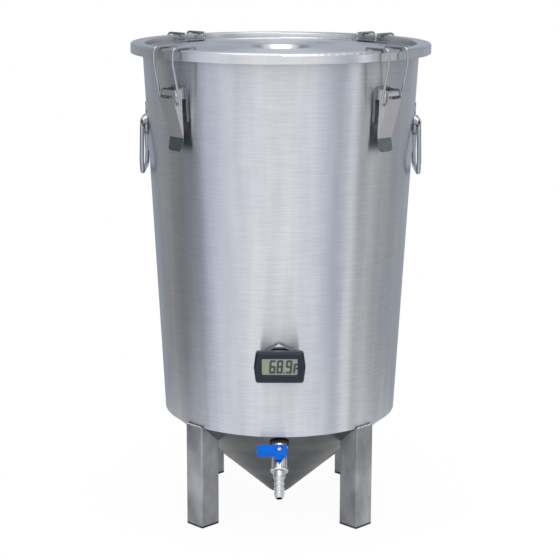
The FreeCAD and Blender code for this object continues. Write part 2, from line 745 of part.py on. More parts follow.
def valve_body():
    """Bored body with its wall thread, ball chamber and stem tower."""
    outer = turned((0, -spigot_in), (spigot_r - 0.8, -spigot_in), (spigot_r, -spigot_in + 0.8),
                   (spigot_r, seal_out + run_gap), (collar_r, seal_out + run_gap), (collar_r, 5.6),
                   (valve_r, 7.2), (valve_r, valve_end), (0, valve_end))
    tower = Part.makeCylinder(gland_r + tower_wall, 9.6, V(0, 0, stem_at), V(1, 0, 0))
    body = outer.fuse(tower)
    chamber = Part.makeCylinder(chamber_r, valve_end - chamber_from + 1, V(0, 0, chamber_from), Z)
    inlet = Part.makeCylinder(flow_r, chamber_from + spigot_in + 2, V(0, 0, -spigot_in - 1), Z)
    socket = Part.makeCylinder(arm_tube_r, 6, V(0, 0, -spigot_in - 1), Z)
    stem_way = Part.makeCylinder(stem_r, 12, V(0, 0, stem_at), V(1, 0, 0))
    gland_way = Part.makeCylinder(gland_r, 3, V(8.0, 0, stem_at), V(1, 0, 0))
    return body.cut(chamber.fuse([inlet, socket, stem_way.fuse(gland_way)])).removeSplitter()


def ball_space(gap):
    return Part.makeSphere(ball_r + gap, V(0, 0, stem_at))


def valve_seats():
    """Two plastic rings dished to the ball."""
    rings = []
    for low in (chamber_from, 2 * stem_at - chamber_from - seat_thick):
        rings.append(tube_about(chamber_r, flow_r, low, low + seat_thick).cut(ball_space(run_gap)))
    return Part.makeCompound(rings)


def valve_ball():
    """Bored ball, shut at rest: its bore lies across the flow."""
    ball = ball_space(0).cut(Part.makeCylinder(flow_r, 30, V(0, -15, stem_at), V(0, 1, 0)))
    return ball.cut(Part.makeBox(4, 6.2, 2.6, V(ball_r - 1.8, -3.1, stem_at - 1.3)))


def valve_stem():
    """Stem with a tongue in the ball's slot and flats under the handle."""
    tongue = Part.makeBox(2.0, 4.2, 2.4, V(ball_r - 1.7, -2.1, stem_at - 1.2))
    shank = Part.makeCylinder(stem_r - run_gap, hub_top - 3.2 - ball_r, V(ball_r + 0.3, 0, stem_at), V(1, 0, 0))
    return tongue.fuse(shank).removeSplitter()


def valve_gland():
    """Packing nut that closes the stem tower."""
    nut = Part.makeCylinder(gland_r, gland_top - 8.0, V(8.0, 0, stem_at), V(1, 0, 0))
    return nut.cut(Part.makeCylinder(stem_r, 20, V(0, 0, stem_at), V(1, 0, 0)))


def valve_handle():
    """Moulded lever: eight-sided hub and a flared grip."""
    def octagon(radius, x):
        angles = [math.radians(45 * i + 22.5) for i in range(9)]
        return Part.makePolygon([V(x, radius * math.cos(a), stem_at + radius * math.sin(a)) for a in angles])
    hub = Part.makeLoft([octagon(hub_foot_r, hub_low), octagon(hub_r, hub_top)], True, True)
    far = stem_at + 2 * hub_foot_r
    flank = [(hub_low, stem_at - grip_low_w / 2 - hub_wall), (hub_top, stem_at - grip_top_w / 2 - hub_wall / 2),
             (hub_top, far), (hub_low, far)]
    hub = hub.common(side_plate(flank, [0, 0, 0, 0], -2 * hub_r, 4 * hub_r))

    def section(y, shrink):
        low, top = grip_low_w / 2 - shrink, grip_top_w / 2 - shrink
        high = hub_top - shrink
        spots = [V(grip_low, y, stem_at - low), V(high, y, stem_at - top), V(high, y, stem_at + top),
                 V(grip_low, y, stem_at + low)]
        return Part.makePolygon(spots + spots[:1])
    grip = Part.makeLoft([section(2.0, 0), section(grip_len - 0.8, 0)], True, True)
    tip = Part.makeLoft([section(grip_len - 0.8, 0), section(grip_len, 0.6)], True, True)
    lever = hub.fuse([grip, tip]).removeSplitter()
    cavity = Part.makeCylinder(gland_r + tower_wall + side_gap, gland_top + side_gap - hub_low + 1,
                               V(hub_low - 1, 0, stem_at), V(1, 0, 0))
    stem_hole = Part.makeCylinder(stem_r - run_gap, 20, V(hub_low, 0, stem_at), V(1, 0, 0))
    seat = Part.makeCylinder(screw_r + 0.4, 4, V(hub_top - 1.0, 0, stem_at), V(1, 0, 0))
    stem_stop = hub_top - 2.9
    hole = stem_hole.common(Part.makeBox(stem_stop, 20, 20, V(0, -10, stem_at - 10)))
    screw_hole = Part.makeCylinder(1.4, 10, V(stem_stop - 1, 0, stem_at), V(1, 0, 0))
    return lever.cut(cavity).cut(hole).cut(seat).cut(screw_hole).removeSplitter()


def valve_screw():
    """Dome-headed socket screw into the stem's end."""
    x = hub_top - 1.0
    head = Part.makeSphere(3.6, V(x + screw_head - 3.6, 0, stem_at)).common(
        Part.makeCylinder(screw_r, screw_head, V(x, 0, stem_at), V(1, 0, 0)))
    shank = Part.makeCylinder(1.4, 1.9, V(x - 1.9, 0, stem_at), V(1, 0, 0))
    socket = Part.makeCylinder(1.0, 2.0, V(x + 0.6, 0, stem_at), V(1, 0, 0))
    return head.fuse(shank).cut(socket).removeSplitter()


def valve_end_cap():
    """Screwed retainer that closes the ball chamber and takes the hose tail."""
    inside = 2 * stem_at - chamber_from
    outer = turned((0, inside), (chamber_r, inside), (chamber_r, valve_end), (cap_r - 0.6, valve_end),
                   (cap_r, valve_end + 0.6), (cap_r, valve_end + cap_thick - 0.6),
                   (cap_r - 0.6, valve_end + cap_thick), (cap_neck_r, valve_end + cap_thick),
                   (cap_neck_r, cap_neck_end), (0, cap_neck_end))
    bore = Part.makeCylinder(flow_r, 40, V(0, 0, inside - 1), Z)
    socket = Part.makeCylinder(barb_spigot_r, 30, V(0, 0, valve_end + 1), Z)
    return outer.cut(bore.fuse(socket))


def hose_barb():
    """Hose tail with saw-tooth rings and an open end."""
    start = cap_neck_end
    pitch = (barb_end - start) / barb_count
    outline = [(0, valve_end + 1), (barb_spigot_r, valve_end + 1), (barb_spigot_r, start)]
    for i in range(barb_count):
        edge = start + pitch * i
        low_r = barb_tip_r if i == barb_count - 1 else barb_valley_r
        outline += [(barb_r, edge + (0.01 if i == 0 else 0)), (barb_r, edge + 0.5), (low_r, edge + pitch)]
    outline.append((0, barb_end))
    tail = turned(*outline)
    return tail.cut(Part.makeCylinder(barb_bore_r, 60, V(0, 0, valve_end), Z))


def wall_seal(low, high, hole):
    return tube_about(seal_ring_r, hole, low, high)


def valve_seals():
    """Outer and inner seal rings, each cut to the cone on one side."""
    outer = Part.makeTorus(seal_ring_r - 2.0, 2.0, V(0, 0, seal_out - 1.6), Z)
    outer = outer.common(Part.makeCylinder(20, 30, V(0, 0, seal_out - 30), Z))
    outer = outer.cut(Part.makeCylinder(spigot_r + run_gap, 20, V(0, 0, -10), Z))
    inner = wall_seal(-sheet - seal_in, 2, spigot_r + run_gap)
    outside = cone_solid(0, body_low_z)
    inside = cone_solid(sheet, body_low_z + sheet)
    return Part.makeCompound([place_valve(outer).cut(outside), place_valve(inner).common(inside)])


def valve_inner_nut():
    low = -sheet - seal_in - run_gap - inner_nut_thick
    return hexagon(inner_nut_flats, low, low + inner_nut_thick).cut(
        Part.makeCylinder(spigot_r, 40, V(0, 0, low - 1), Z))


def racking_arm():
    """Bent pick-up tube inside the cone."""
    bend = math.radians(arm_bend)
    start = -spigot_in + 5.0
    knee = start - 17.0
    reach = arm_length + arm_bend_r * math.tan(bend / 2)
    end = (-reach * math.sin(bend), 0, knee - reach * math.cos(bend))
    line = [(0, 0, start), (0, 0, knee), end]
    beyond = (end[0] - 2 * math.sin(bend), 0, end[2] - 2 * math.cos(bend))
    tube = pipe(line, [arm_bend_r], arm_tube_r)
    bore = pipe([(0, 0, start + 2), (0, 0, knee), beyond], [arm_bend_r], arm_bore_r)
    return tube.cut(bore)


# ------------------------------------------------------------------ assembly
def build():
    keep("vessel_shell", vessel_shell())
    keep("cone_bottom", cone_bottom())
    keep("lid", lid())
    keep("lid_gasket", lid_gasket())
    pins, spacers = [], []
    for name, azimuth in leg_azimuths.items():
        keep("leg_" + name, facing(leg(), azimuth))
        keep("foot_" + name, facing(foot(), azimuth))
        keep("latch_bracket_" + name, facing(latch_bracket(), azimuth))
        keep("latch_lever_" + name, facing(latch_lever(), azimuth))
        keep("latch_bail_" + name, facing(latch_bail(), azimuth))
        pins.append(facing(latch_pin(), azimuth))
        spacers.append(facing(latch_spacer(), azimuth))
    keep("latch_pins", Part.makeCompound(pins))
    keep("latch_spacers", Part.makeCompound(spacers))
    for name, azimuth in (("right", 0), ("left", 180)):
        keep("handle_plate_" + name, facing(handle_plate(), azimuth))
        keep("handle_ring_" + name, facing(handle_ring(), azimuth))
    for piece in (thermowell, thermowell_nut, thermowell_seals, thermometer_back, thermometer_bezel,
                  thermometer_lens, thermometer_display, thermometer_board, thermometer_cell, thermometer_probe):
        keep(piece.__name__, facing(piece(), -90))
    for piece in (valve_body, valve_seats, valve_ball, valve_stem, valve_gland, valve_handle, valve_screw,
                  valve_end_cap, hose_barb, valve_inner_nut, racking_arm):
        keep(piece.__name__, place_valve(piece()))
    keep("valve_seals", valve_seals())


build()
os.makedirs("parts", exist_ok=True)
for name, shape in parts.items():
    shape.exportStep(os.path.join("parts", name + ".step"))
    box = shape.BoundBox
    print("%-30s solids %d valid %s volume %.0f  z %.1f..%.1f" % (
        name, len(shape.Solids), shape.isValid(), shape.Volume, box.ZMin, box.ZMax))
print(len(parts), "nodes")
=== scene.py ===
# %% [markdown]
# # A conical fermenter, dressed
#
# The object is a stainless bucket on four legs. Its bottom is a cone, its lid is held by four
# wire latches, and two fittings stand on its front: a thermometer and a small ball valve.
# Its solids come ready made from the frame, at their real size. This script gives them their
# metals and plastics, adds the few pieces that only the eye needs, and lights them.

# %% Load the frame
import json
import math

import bpy
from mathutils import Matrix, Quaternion, Vector

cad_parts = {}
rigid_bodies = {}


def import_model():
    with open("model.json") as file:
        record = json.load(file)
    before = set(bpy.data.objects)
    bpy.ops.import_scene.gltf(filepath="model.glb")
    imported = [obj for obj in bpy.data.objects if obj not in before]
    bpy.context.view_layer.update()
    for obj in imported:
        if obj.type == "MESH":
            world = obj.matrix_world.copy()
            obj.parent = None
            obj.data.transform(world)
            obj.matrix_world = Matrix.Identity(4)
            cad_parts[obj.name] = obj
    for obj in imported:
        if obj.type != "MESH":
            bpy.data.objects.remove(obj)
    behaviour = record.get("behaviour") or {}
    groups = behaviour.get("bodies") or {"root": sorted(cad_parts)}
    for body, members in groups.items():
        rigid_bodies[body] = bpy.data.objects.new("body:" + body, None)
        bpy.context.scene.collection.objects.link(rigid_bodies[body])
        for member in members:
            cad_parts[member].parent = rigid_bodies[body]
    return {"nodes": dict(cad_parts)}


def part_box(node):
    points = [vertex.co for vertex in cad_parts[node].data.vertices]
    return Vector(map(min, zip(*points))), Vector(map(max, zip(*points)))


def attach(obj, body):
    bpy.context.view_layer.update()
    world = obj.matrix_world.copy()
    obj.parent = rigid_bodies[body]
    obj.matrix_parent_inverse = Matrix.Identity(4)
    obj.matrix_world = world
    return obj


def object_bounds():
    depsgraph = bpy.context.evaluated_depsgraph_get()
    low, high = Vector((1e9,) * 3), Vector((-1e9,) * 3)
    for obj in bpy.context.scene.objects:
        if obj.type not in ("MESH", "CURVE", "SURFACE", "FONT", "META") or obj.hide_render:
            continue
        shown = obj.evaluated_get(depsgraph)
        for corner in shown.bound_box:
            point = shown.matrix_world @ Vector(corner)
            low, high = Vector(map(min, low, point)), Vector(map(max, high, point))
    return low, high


for leftover in list(bpy.data.objects):
    bpy.data.objects.remove(leftover)
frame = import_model()
cad_low, cad_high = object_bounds()
nodes = frame["nodes"]
print("solids:", len(nodes), "box:", [round(c, 4) for c in (*cad_low, *cad_high)])

# %% [markdown]
# Sizes are kept in millimetres, because that is how a maker reads a drawing, and turned into
# Blender's metres by one value. Places are read from the frame's own boxes wherever a box
# can give them, so nothing has to be fitted by hand afterwards.

# %% Units and places
MM = 0.001
lid_low, lid_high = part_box("lid")
print("lid's ring is", round((lid_high.x - lid_low.x) / MM, 1), "mm across")

# %% [markdown]
# ## Colours and nodes
#
# Colours are written as the sRGB codes that a colour picker shows. Blender's shaders work in
# linear light, so one function turns a code into that. A second function adds a shader node
# with its settings and its links in one call, which keeps each material short to read.


# %% Turn a colour code into linear light
def linear(code):
    """Linear colour from an sRGB hex code."""
    channels = [int(code[i:i + 2], 16) / 255 for i in (1, 3, 5)]
    return tuple(c / 12.92 if c <= 0.04045 else ((c + 0.055) / 1.055) ** 2.4 for c in channels) + (1.0,)


print("middle grey is", round(linear("#808080")[0], 3), "in linear light")


# %% Add a node
def add(tree, kind, inputs=None, **settings):
    """Add a node. inputs gives each socket a value or a socket to link from."""
    made = tree.nodes.new(kind)
    for key, value in settings.items():
        setattr(made, key, value)
    for key, value in (inputs or {}).items():
        if isinstance(value, bpy.types.NodeSocket):
            tree.links.new(value, made.inputs[key])
        else:
            made.inputs[key].default_value = value
    return made


def empty_material(name):
    """Material with no nodes yet, and its tree."""
    made = bpy.data.materials.new(name)
    made.use_nodes = True
    made.node_tree.nodes.clear()
    return made, made.node_tree


print("add() is ready")


# %% Start a material and fill its shader
def new_material(name):
    """Material with a Principled shader wired to its output."""
    made, tree = empty_material(name)
    shader = add(tree, "ShaderNodeBsdfPrincipled")
    add(tree, "ShaderNodeOutputMaterial", {"Surface": shader.outputs["BSDF"]})
    return made, tree, shader


def feed(tree, shader, **sockets):
    """Link or set several sockets of a shader; an underscore stands for a space."""
    for key, value in sockets.items():
        socket = shader.inputs[key.replace("_", " ")]
        if isinstance(value, bpy.types.NodeSocket):
            tree.links.new(value, socket)
        else:
            socket.default_value = value


print("new_material() and feed() are ready")

# %% [markdown]
# ## Patterns that every finish shares
#
# No steel or plastic is one flat colour. A noise texture gives each finish its cloud or grain,
# two small functions turn that noise into a range of roughness or a range of colour, and a third
# paints shade into the colour where two surfaces meet, since less light reaches there.
# Blender finds those places with the Ambient Occlusion node, which asks how open each point is.

# %% Noise, ranges and painted crevice shade
SHUT_IN, IN_THE_OPEN = 0.35, 0.8


def noise(tree, vector, scale=1.0, detail=3.0):
    """Soft noise from 0 to 1."""
    return add(tree, "ShaderNodeTexNoise", {"Vector": vector, "Scale": scale, "Detail": detail,
                                            "Roughness": 0.6}).outputs["Fac"]


def spread(tree, source, low, high):
    """Rescale a 0 to 1 value to run from low to high."""
    return add(tree, "ShaderNodeMapRange", {"Value": source, "To Min": low, "To Max": high}).outputs[0]


def sharpen(tree, source, low, high):
    """Stretch the part of a value between low and high to run from 0 to 1."""
    return add(tree, "ShaderNodeMapRange", {"Value": source, "From Min": low, "From Max": high}).outputs[0]


def blend(tree, share, first, second):
    """Mix of two colours; share is 0 for the first and 1 for the second."""
    return add(tree, "ShaderNodeMix", {"Factor": share, "A": first, "B": second},
               data_type="RGBA").outputs["Result"]


def painted_crevice_shade(tree, colour, crevice_mm, shade_code):
    """Colour darkened by painted shade within a crevice's width of another surface."""
    near = add(tree, "ShaderNodeAmbientOcclusion", {"Distance": crevice_mm * MM}, samples=8).outputs["AO"]
    return blend(tree, sharpen(tree, near, SHUT_IN, IN_THE_OPEN), linear(shade_code), colour)


print("a surface counts as open above", IN_THE_OPEN)

# %% [markdown]
# ## Brushed stainless steel
#
# The bucket is rolled from 304 sheet and finished on a belt, which leaves fine grooves that run
# round it. Grooves spread a reflection across themselves and leave it sharp along themselves,
# so every light becomes an upright streak. Blender makes that with anisotropy: a tangent that
# runs round the axis, turned by a quarter so that the blur goes up and down.
#
# The grooves could be modelled, but a groove is a few hundredths of a millimetre wide. Noise
# stretched along the girth does the job: it tints the steel, changes its roughness a little and
# bends the light in a bump. A second noise, 20 mm wide and 240 mm high, lays uneven upright
# streaks over the tint, as handling and rinsing leave on such a bucket.
#
# The noise needs coordinates that follow the grooves. An angle would do, but it jumps from plus
# to minus 180 degrees at the back and leaves a seam there. The direction outward from the axis
# has no such jump. Height and radius are added for the other way, so the same marks run round
# the wall and in rings on the lid.

# %% Coordinates that run round the vessel
GIRTH_RADIUS = 140 * MM


def round_the_axis(tree, along_mm, across_mm, seed=0.0):
    """Vector that repeats round the axis and grows outward and upward, in units of one mark's size."""
    place = add(tree, "ShaderNodeTexCoord").outputs["Object"]
    flat = add(tree, "ShaderNodeVectorMath", {0: place, 1: (1, 1, 0)}, operation="MULTIPLY").outputs["Vector"]
    radius = add(tree, "ShaderNodeVectorMath", {0: flat}, operation="LENGTH").outputs["Value"]
    outward = add(tree, "ShaderNodeVectorMath", {0: flat}, operation="NORMALIZE").outputs["Vector"]
    along = add(tree, "ShaderNodeVectorMath", {0: outward, "Scale": GIRTH_RADIUS / (along_mm * MM)},
                operation="SCALE").outputs["Vector"]
    height = add(tree, "ShaderNodeSeparateXYZ", {"Vector": place}).outputs["Z"]
    path = add(tree, "ShaderNodeMath", {0: height, 1: radius}, operation="ADD").outputs[0]
    across = add(tree, "ShaderNodeMath", {0: path, 1: 1 / (across_mm * MM), 2: seed},
                 operation="MULTIPLY_ADD").outputs[0]
    rise = add(tree, "ShaderNodeCombineXYZ", {"Z": across}).outputs[0]
    return add(tree, "ShaderNodeVectorMath", {0: along, 1: rise}, operation="ADD").outputs["Vector"]


print("marks are laid out on a girth of", round(math.tau * GIRTH_RADIUS / MM), "mm")

# %% Brushed steel
MARK_STRETCH = 26
STREAK_WIDTH, STREAK_HEIGHT = 20, 240
SUM_LOW, SUM_HIGH = 0.65, 1.35
CREVICE = 9.0


def brushed_stainless(name, dark, light, roughness, anisotropy, mark_mm):
    """Belt-finished steel whose grooves run round the axis."""
    made, tree, shader = new_material(name)
    marks = noise(tree, round_the_axis(tree, mark_mm * MARK_STRETCH, mark_mm), detail=4.0)
    streaks = noise(tree, round_the_axis(tree, STREAK_WIDTH, STREAK_HEIGHT, seed=4.0), detail=3.0)
    both = add(tree, "ShaderNodeMath", {0: marks, 1: streaks}, operation="ADD").outputs[0]
    steel = blend(tree, sharpen(tree, both, SUM_LOW, SUM_HIGH), linear(dark), linear(light))
    bump = add(tree, "ShaderNodeBump", {"Height": marks, "Strength": 0.12, "Distance": 0.02 * MM})
    turn = add(tree, "ShaderNodeTangent", direction_type="RADIAL", axis="Z")
    # Near other surfaces the colour gets painted shade, in the grey #6b6d70.
    feed(tree, shader, Base_Color=painted_crevice_shade(tree, steel, CREVICE, "#6b6d70"), Metallic=1.0,
         Roughness=spread(tree, marks, roughness - 0.05, roughness + 0.05), Anisotropic=anisotropy,
         Anisotropic_Rotation=0.25, Tangent=turn.outputs[0], Normal=bump.outputs[0])
    return made


# Belt-finished sheet: broad soft bands of light that run up the wall, with faint marks across them.
# Real marks are too fine to show, so they are drawn 1 mm wide.
body_steel = brushed_stainless("brushed_stainless_304", "#c3c6cd", "#e2e4e8", 0.34, 1.0, 1.0)

# Sheet pressed and then polished while it spins: a little glossier, with marks in rings. These are
# also drawn coarse, at 1.5 mm.
lid_steel = brushed_stainless("spun_stainless_304", "#cbced1", "#dedfe2", 0.3, 0.8, 1.5)
print("brushed metals:", body_steel.name, lid_steel.name)

# %% [markdown]
# The lid's lower edge is folded back on itself. The fold's underside holds a thin line of shadow
# all round the bucket. It is painted into the lid's steel by height, between the lid's lowest
# point and the top of the hem, and fades upward.

# %% Shadow on the lid's hem
HEM = 2.4 * MM
tree = lid_steel.node_tree
height = add(tree, "ShaderNodeSeparateXYZ", {"Vector": add(tree, "ShaderNodeTexCoord").outputs["Object"]})
above_hem = sharpen(tree, height.outputs["Z"], lid_low.z, lid_low.z + HEM)
shader = next(made for made in tree.nodes if made.type == "BSDF_PRINCIPLED")
polished = shader.inputs["Base Color"].links[0].from_socket
feed(tree, shader, Base_Color=blend(tree, above_hem, linear("#5e6064"), polished))
print("hem is", round(HEM / MM, 1), "mm high")

# %% [markdown]
# ## Plain stainless steel
#
# The cone and the legs keep the dull grey skin of the rolling mill, clouded and a little stained.
# The cone is also drawn darker, as painted shade.
# Pressed sheet, drawn wire and turned bar are brighter, each after its own making. One function
# makes them all: clouds for the tone, and a fine grain for the roughness. The clouds are as wide,
# in millimetres, as the blotches on such a piece. The real grain is too fine to show, so it is
# drawn about a millimetre wide.


# %% Mill, pressed, drawn and turned steel
def plain_stainless(name, dark, light, roughness, cloud_mm, grain_mm, stretch=(1, 1, 1), bump_mm=0.0,
                    stain=0.0):
    """Steel with clouds of tone; stain sharpens the clouds into marks, from 0 to 1."""
    made, tree, shader = new_material(name)
    place = add(tree, "ShaderNodeTexCoord").outputs["Object"]
    scaled = add(tree, "ShaderNodeMapping", {"Vector": place, "Scale": stretch}).outputs[0]
    clouds = noise(tree, scaled, 1 / (cloud_mm * MM), detail=5.0)
    grain = noise(tree, scaled, 1 / (grain_mm * MM), detail=2.0)
    steel = blend(tree, sharpen(tree, clouds, 0.3 * stain, 1 - 0.3 * stain), linear(dark), linear(light))
    # Near other surfaces the colour gets painted shade, in the grey #55585c.
    feed(tree, shader, Base_Color=painted_crevice_shade(tree, steel, 2.5, "#55585c"), Metallic=1.0,
         Roughness=spread(tree, grain, roughness * 0.85, roughness * 1.15))
    if bump_mm:
        bump = add(tree, "ShaderNodeBump", {"Height": grain, "Strength": 0.3, "Distance": bump_mm * MM})
        feed(tree, shader, Normal=bump.outputs[0])
    return made


print("plain_stainless() is ready")

# %% Steels with a mill skin
# Sheet rolled into a cone and left as it came, with wide blotches. Its dark, smoky colour is partly
# the mill skin and partly painted shade, for the shadowed floor that it faces.
cone_steel = plain_stainless("mill_skin_and_painted_shade_cone", "#484b50", "#7c7e82", 0.26, 38, 2.0, (1, 1, 1.6), 0.03, 0.7)

# Drawn square tube: grey, with stains that run up and down as it was pulled.
leg_steel = plain_stainless("mill_finish_tube", "#75777b", "#b2b4b8", 0.34, 26, 1.5, (1, 1, 0.5), 0.03, 0.8)

# Finger tabs: the same steel drawn darker and bluer, on the levers' lower ends.
tab_steel = plain_stainless("darker_tab_stainless", "#6c747d", "#878f97", 0.22, 6, 1.0, stain=0.6)
print("mill finishes:", cone_steel.name, leg_steel.name, tab_steel.name)

# %% Brighter steels
# Sheet from the press: even and satin.
sheet_steel = plain_stainless("pressed_stainless", "#adacae", "#c3c2c5", 0.28, 12, 1.0)

# Levers rubbed smooth in a tumbling drum: lighter and softer than the press leaves them.
lever_steel = plain_stainless("tumbled_stainless", "#cccbce", "#dcdbde", 0.3, 14, 1.0)

# Latch wires and drop rings, pulled through a die: nearly mirrors, with thin lines of light and dark.
wire_steel = plain_stainless("drawn_stainless_wire", "#9da2a8", "#b7bcc1", 0.13, 15, 1.0)

# Thermowell and its nut, turned on a lathe, and the arm inside: bright, each light with a soft edge.
bar_steel = plain_stainless("turned_stainless", "#c9c9c9", "#e0e0df", 0.2, 10, 0.8)

# Rivets, sleeves, valve, hose tail and welds, polished: the brightest of all.
bright_steel = plain_stainless("polished_stainless", "#d2d3d5", "#e6e7e8", 0.1, 10, 0.8)

# Nickel plate on the coin cell: a warmer white.
cell_steel = plain_stainless("nickel_plated_cell", "#c4c2bc", "#d8d6d0", 0.22, 8, 0.8)
bright_ones = (sheet_steel, lever_steel, wire_steel, bar_steel, bright_steel, cell_steel)
print("brighter steels:", *(steel.name for steel in bright_ones))

# %% [markdown]
# ## Plastics, rubber and glass
#
# These reflect only a little at the surface and get their colour from inside, so they are not
# metallic and their IOR is near 1.5. One function makes them: a mottle 8 mm wide that is barely
# darker than the rest, and the fine grain of the mould in the roughness and the bump. A mould's
# grain is about a tenth of a millimetre, and is drawn at half a millimetre or more to show.


# %% Moulded materials
def moulded(name, dark, light, roughness, ior, grain_mm, bump_mm, shine=0.5):
    """Plastic or rubber with a slight mottle and a fine moulded grain; shine scales its reflection."""
    made, tree, shader = new_material(name)
    place = add(tree, "ShaderNodeTexCoord").outputs["Object"]
    mottle = noise(tree, place, 1 / (8 * MM), detail=3.0)
    grain = noise(tree, place, 1 / (grain_mm * MM), detail=2.0)
    bump = add(tree, "ShaderNodeBump", {"Height": grain, "Strength": 0.35, "Distance": bump_mm * MM})
    feed(tree, shader, Base_Color=blend(tree, mottle, linear(dark), linear(light)), IOR=ior,
         Specular_IOR_Level=shine, Roughness=spread(tree, grain, roughness * 0.9, roughness * 1.1),
         Normal=bump.outputs[0])
    return made


# ABS from a spark-eroded mould: blue-black, with a low sheen.
housing_abs = moulded("black_abs", "#131b2a", "#1b2537", 0.3, 1.53, 0.5, 0.02, shine=0.28)

# Polyethylene end caps: waxy black.
foot_plastic = moulded("black_polyethylene", "#141416", "#202024", 0.55, 1.5, 0.6, 0.02)

# Vinyl, dipped: one strong blue right to the edge, since its skin is soft and hardly reflects.
vinyl = moulded("blue_vinyl", "#0060cf", "#006ee0", 0.25, 1.5, 0.8, 0.02, shine=0.05)

# PTFE seats: milky white and slippery.
ptfe = moulded("white_ptfe", "#dededc", "#ececea", 0.45, 1.35, 0.8, 0.01)
print("plastics:", housing_abs.name, foot_plastic.name, vinyl.name, ptfe.name)

# %% Seals and the thermometer's parts
# Nitrile rubber, moulded: dull black.
seal_rubber = moulded("black_nitrile", "#101113", "#1b1c1f", 0.5, 1.52, 0.8, 0.02)

# Silicone rubber: soft, cloudy white.
silicone = moulded("white_silicone", "#d5d6d6", "#e3e4e3", 0.5, 1.41, 0.8, 0.02)

# Glass and epoxy under a green mask: a satin green board.
board = moulded("green_glass_epoxy", "#1d5a35", "#2a6f43", 0.4, 1.55, 0.8, 0.02)

# Reflector film behind the crystal: pale grey-green, and even.
display_film = moulded("lcd_reflector_film", "#b7c1a6", "#c3ccb2", 0.35, 1.52, 0.6, 0.0)

# Liquid crystal that is switched on: nearly black, with a little green.
crystal = moulded("liquid_crystal", "#08181f", "#0c1f26", 0.4, 1.5, 0.6, 0.0)
print("seals and parts:", seal_rubber.name, silicone.name, board.name, display_film.name, crystal.name)

# %% Clear window
# Acrylic, moulded against a polished die: clear, with a sharp and weak reflection.
acrylic, tree, shader = new_material("clear_acrylic")
feed(tree, shader, Base_Color=linear("#f4f7f5"), Roughness=0.03, IOR=1.49, Transmission_Weight=1.0)
print("window:", acrylic.name)

# %% [markdown]
# ## Dressing the solids
#
# The frame brings each solid with a plain material that is named for its finish. Each is swapped
# for the one made above. The levers are pressed steel too, but smoother than the brackets, and
# their finger tabs are drawn darker and bluer, so they get two materials, told apart by height and
# by which way a face looks.

# %% Give each solid its material
FINISHES = {
    "brushed_body": body_steel, "dull_cone": cone_steel, "polished_lid": lid_steel, "silicone": silicone,
    "black_seal": seal_rubber, "black_plastic": foot_plastic, "tube_steel": leg_steel,
    "pressed_steel": sheet_steel, "wire_steel": wire_steel, "bright_steel": bright_steel,
    "turned_steel": bar_steel, "housing_plastic": housing_abs, "clear_window": acrylic,
    "display_glass": display_film, "circuit_board": board, "cell_steel": cell_steel,
    "white_plastic": ptfe, "blue_plastic": vinyl,
}
for solid in nodes.values():
    for place in solid.material_slots:
        place.material = FINISHES[place.material.name]
print("dressed", len(nodes), "solids in", len(FINISHES), "finishes")

# %% Levers and their tabs
TAB_HEIGHT = 14.2 * MM
levers = [name for name in nodes if name.startswith("latch_lever")]
for name in levers:
    solid = nodes[name]
    solid.material_slots[0].material = lever_steel
    solid.data.materials.append(tab_steel)
    tab_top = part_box(name)[0].z + TAB_HEIGHT
    for face in solid.data.polygons:
        if (solid.matrix_world @ face.center).z < tab_top and abs(face.normal.z) < 0.7:
            face.material_index = 1
print("levers with a dull tab:", len(levers))

# %% [markdown]
# ## Numerals on the display
#
# A liquid crystal display switches flat bars on and off, seven to a digit. Each bar here is a thin
# plate with cut corners, 0.05 mm proud of the display and just behind the window, which is where
# the crystal lies in a real one. A picture on the display would be quicker, but plates stay sharp
# at any distance. The reading is a plain temperature.

# %% Bars of a seven-segment digit
BARS = {"top": (0, 2, 1, 2), "upper_left": (0, 1, 0, 2), "upper_right": (1, 1, 1, 2),
        "centre": (0, 1, 1, 1), "lower_left": (0, 0, 0, 1), "lower_right": (1, 0, 1, 1),
        "bottom": (0, 0, 1, 0)}
SHAPES = {
    "6": ("top", "upper_left", "centre", "lower_left", "lower_right", "bottom"),
    "8": tuple(BARS),
    "9": ("top", "upper_left", "upper_right", "centre", "lower_right", "bottom"),
    "F": ("top", "upper_left", "centre", "lower_left"),
}
print("bars in each shape:", {symbol: len(bars) for symbol, bars in SHAPES.items()})

# %% Outlines of bars and digits
OVERRUN = 0.35
LEAN = math.tan(math.radians(4))


def bar_outline(start, end, stroke):
    """Bar with cut corners between two corners of a digit, in millimetres."""
    way = (Vector(end) - Vector(start)).normalized()
    side = Vector((-way.y, way.x)) * stroke / 2
    inner = way * stroke * OVERRUN
    first = Vector(start) - inner
    last = Vector(end) + inner
    blunt = side * 0.5
    return [first - blunt, first + blunt, first + inner + side, last - inner + side,
            last + blunt, last - blunt, last - inner - side, first + inner - side]


def digit_outlines(symbol, left, low, width, height, stroke):
    """Outlines of a symbol's bars, leaned as display digits are."""
    outlines = []
    for name in SHAPES[symbol]:
        x0, y0, x1, y1 = BARS[name]
        start = (x0 * (width - stroke), y0 * (height - stroke) / 2)
        end = (x1 * (width - stroke), y1 * (height - stroke) / 2)
        bar = bar_outline(start, end, stroke)
        outlines.append([(left + stroke / 2 + p.x + (p.y * LEAN), low + stroke / 2 + p.y) for p in bar])
    return outlines


print("corners of a bar:", len(bar_outline((0, 0), (1, 0), 0.2)))


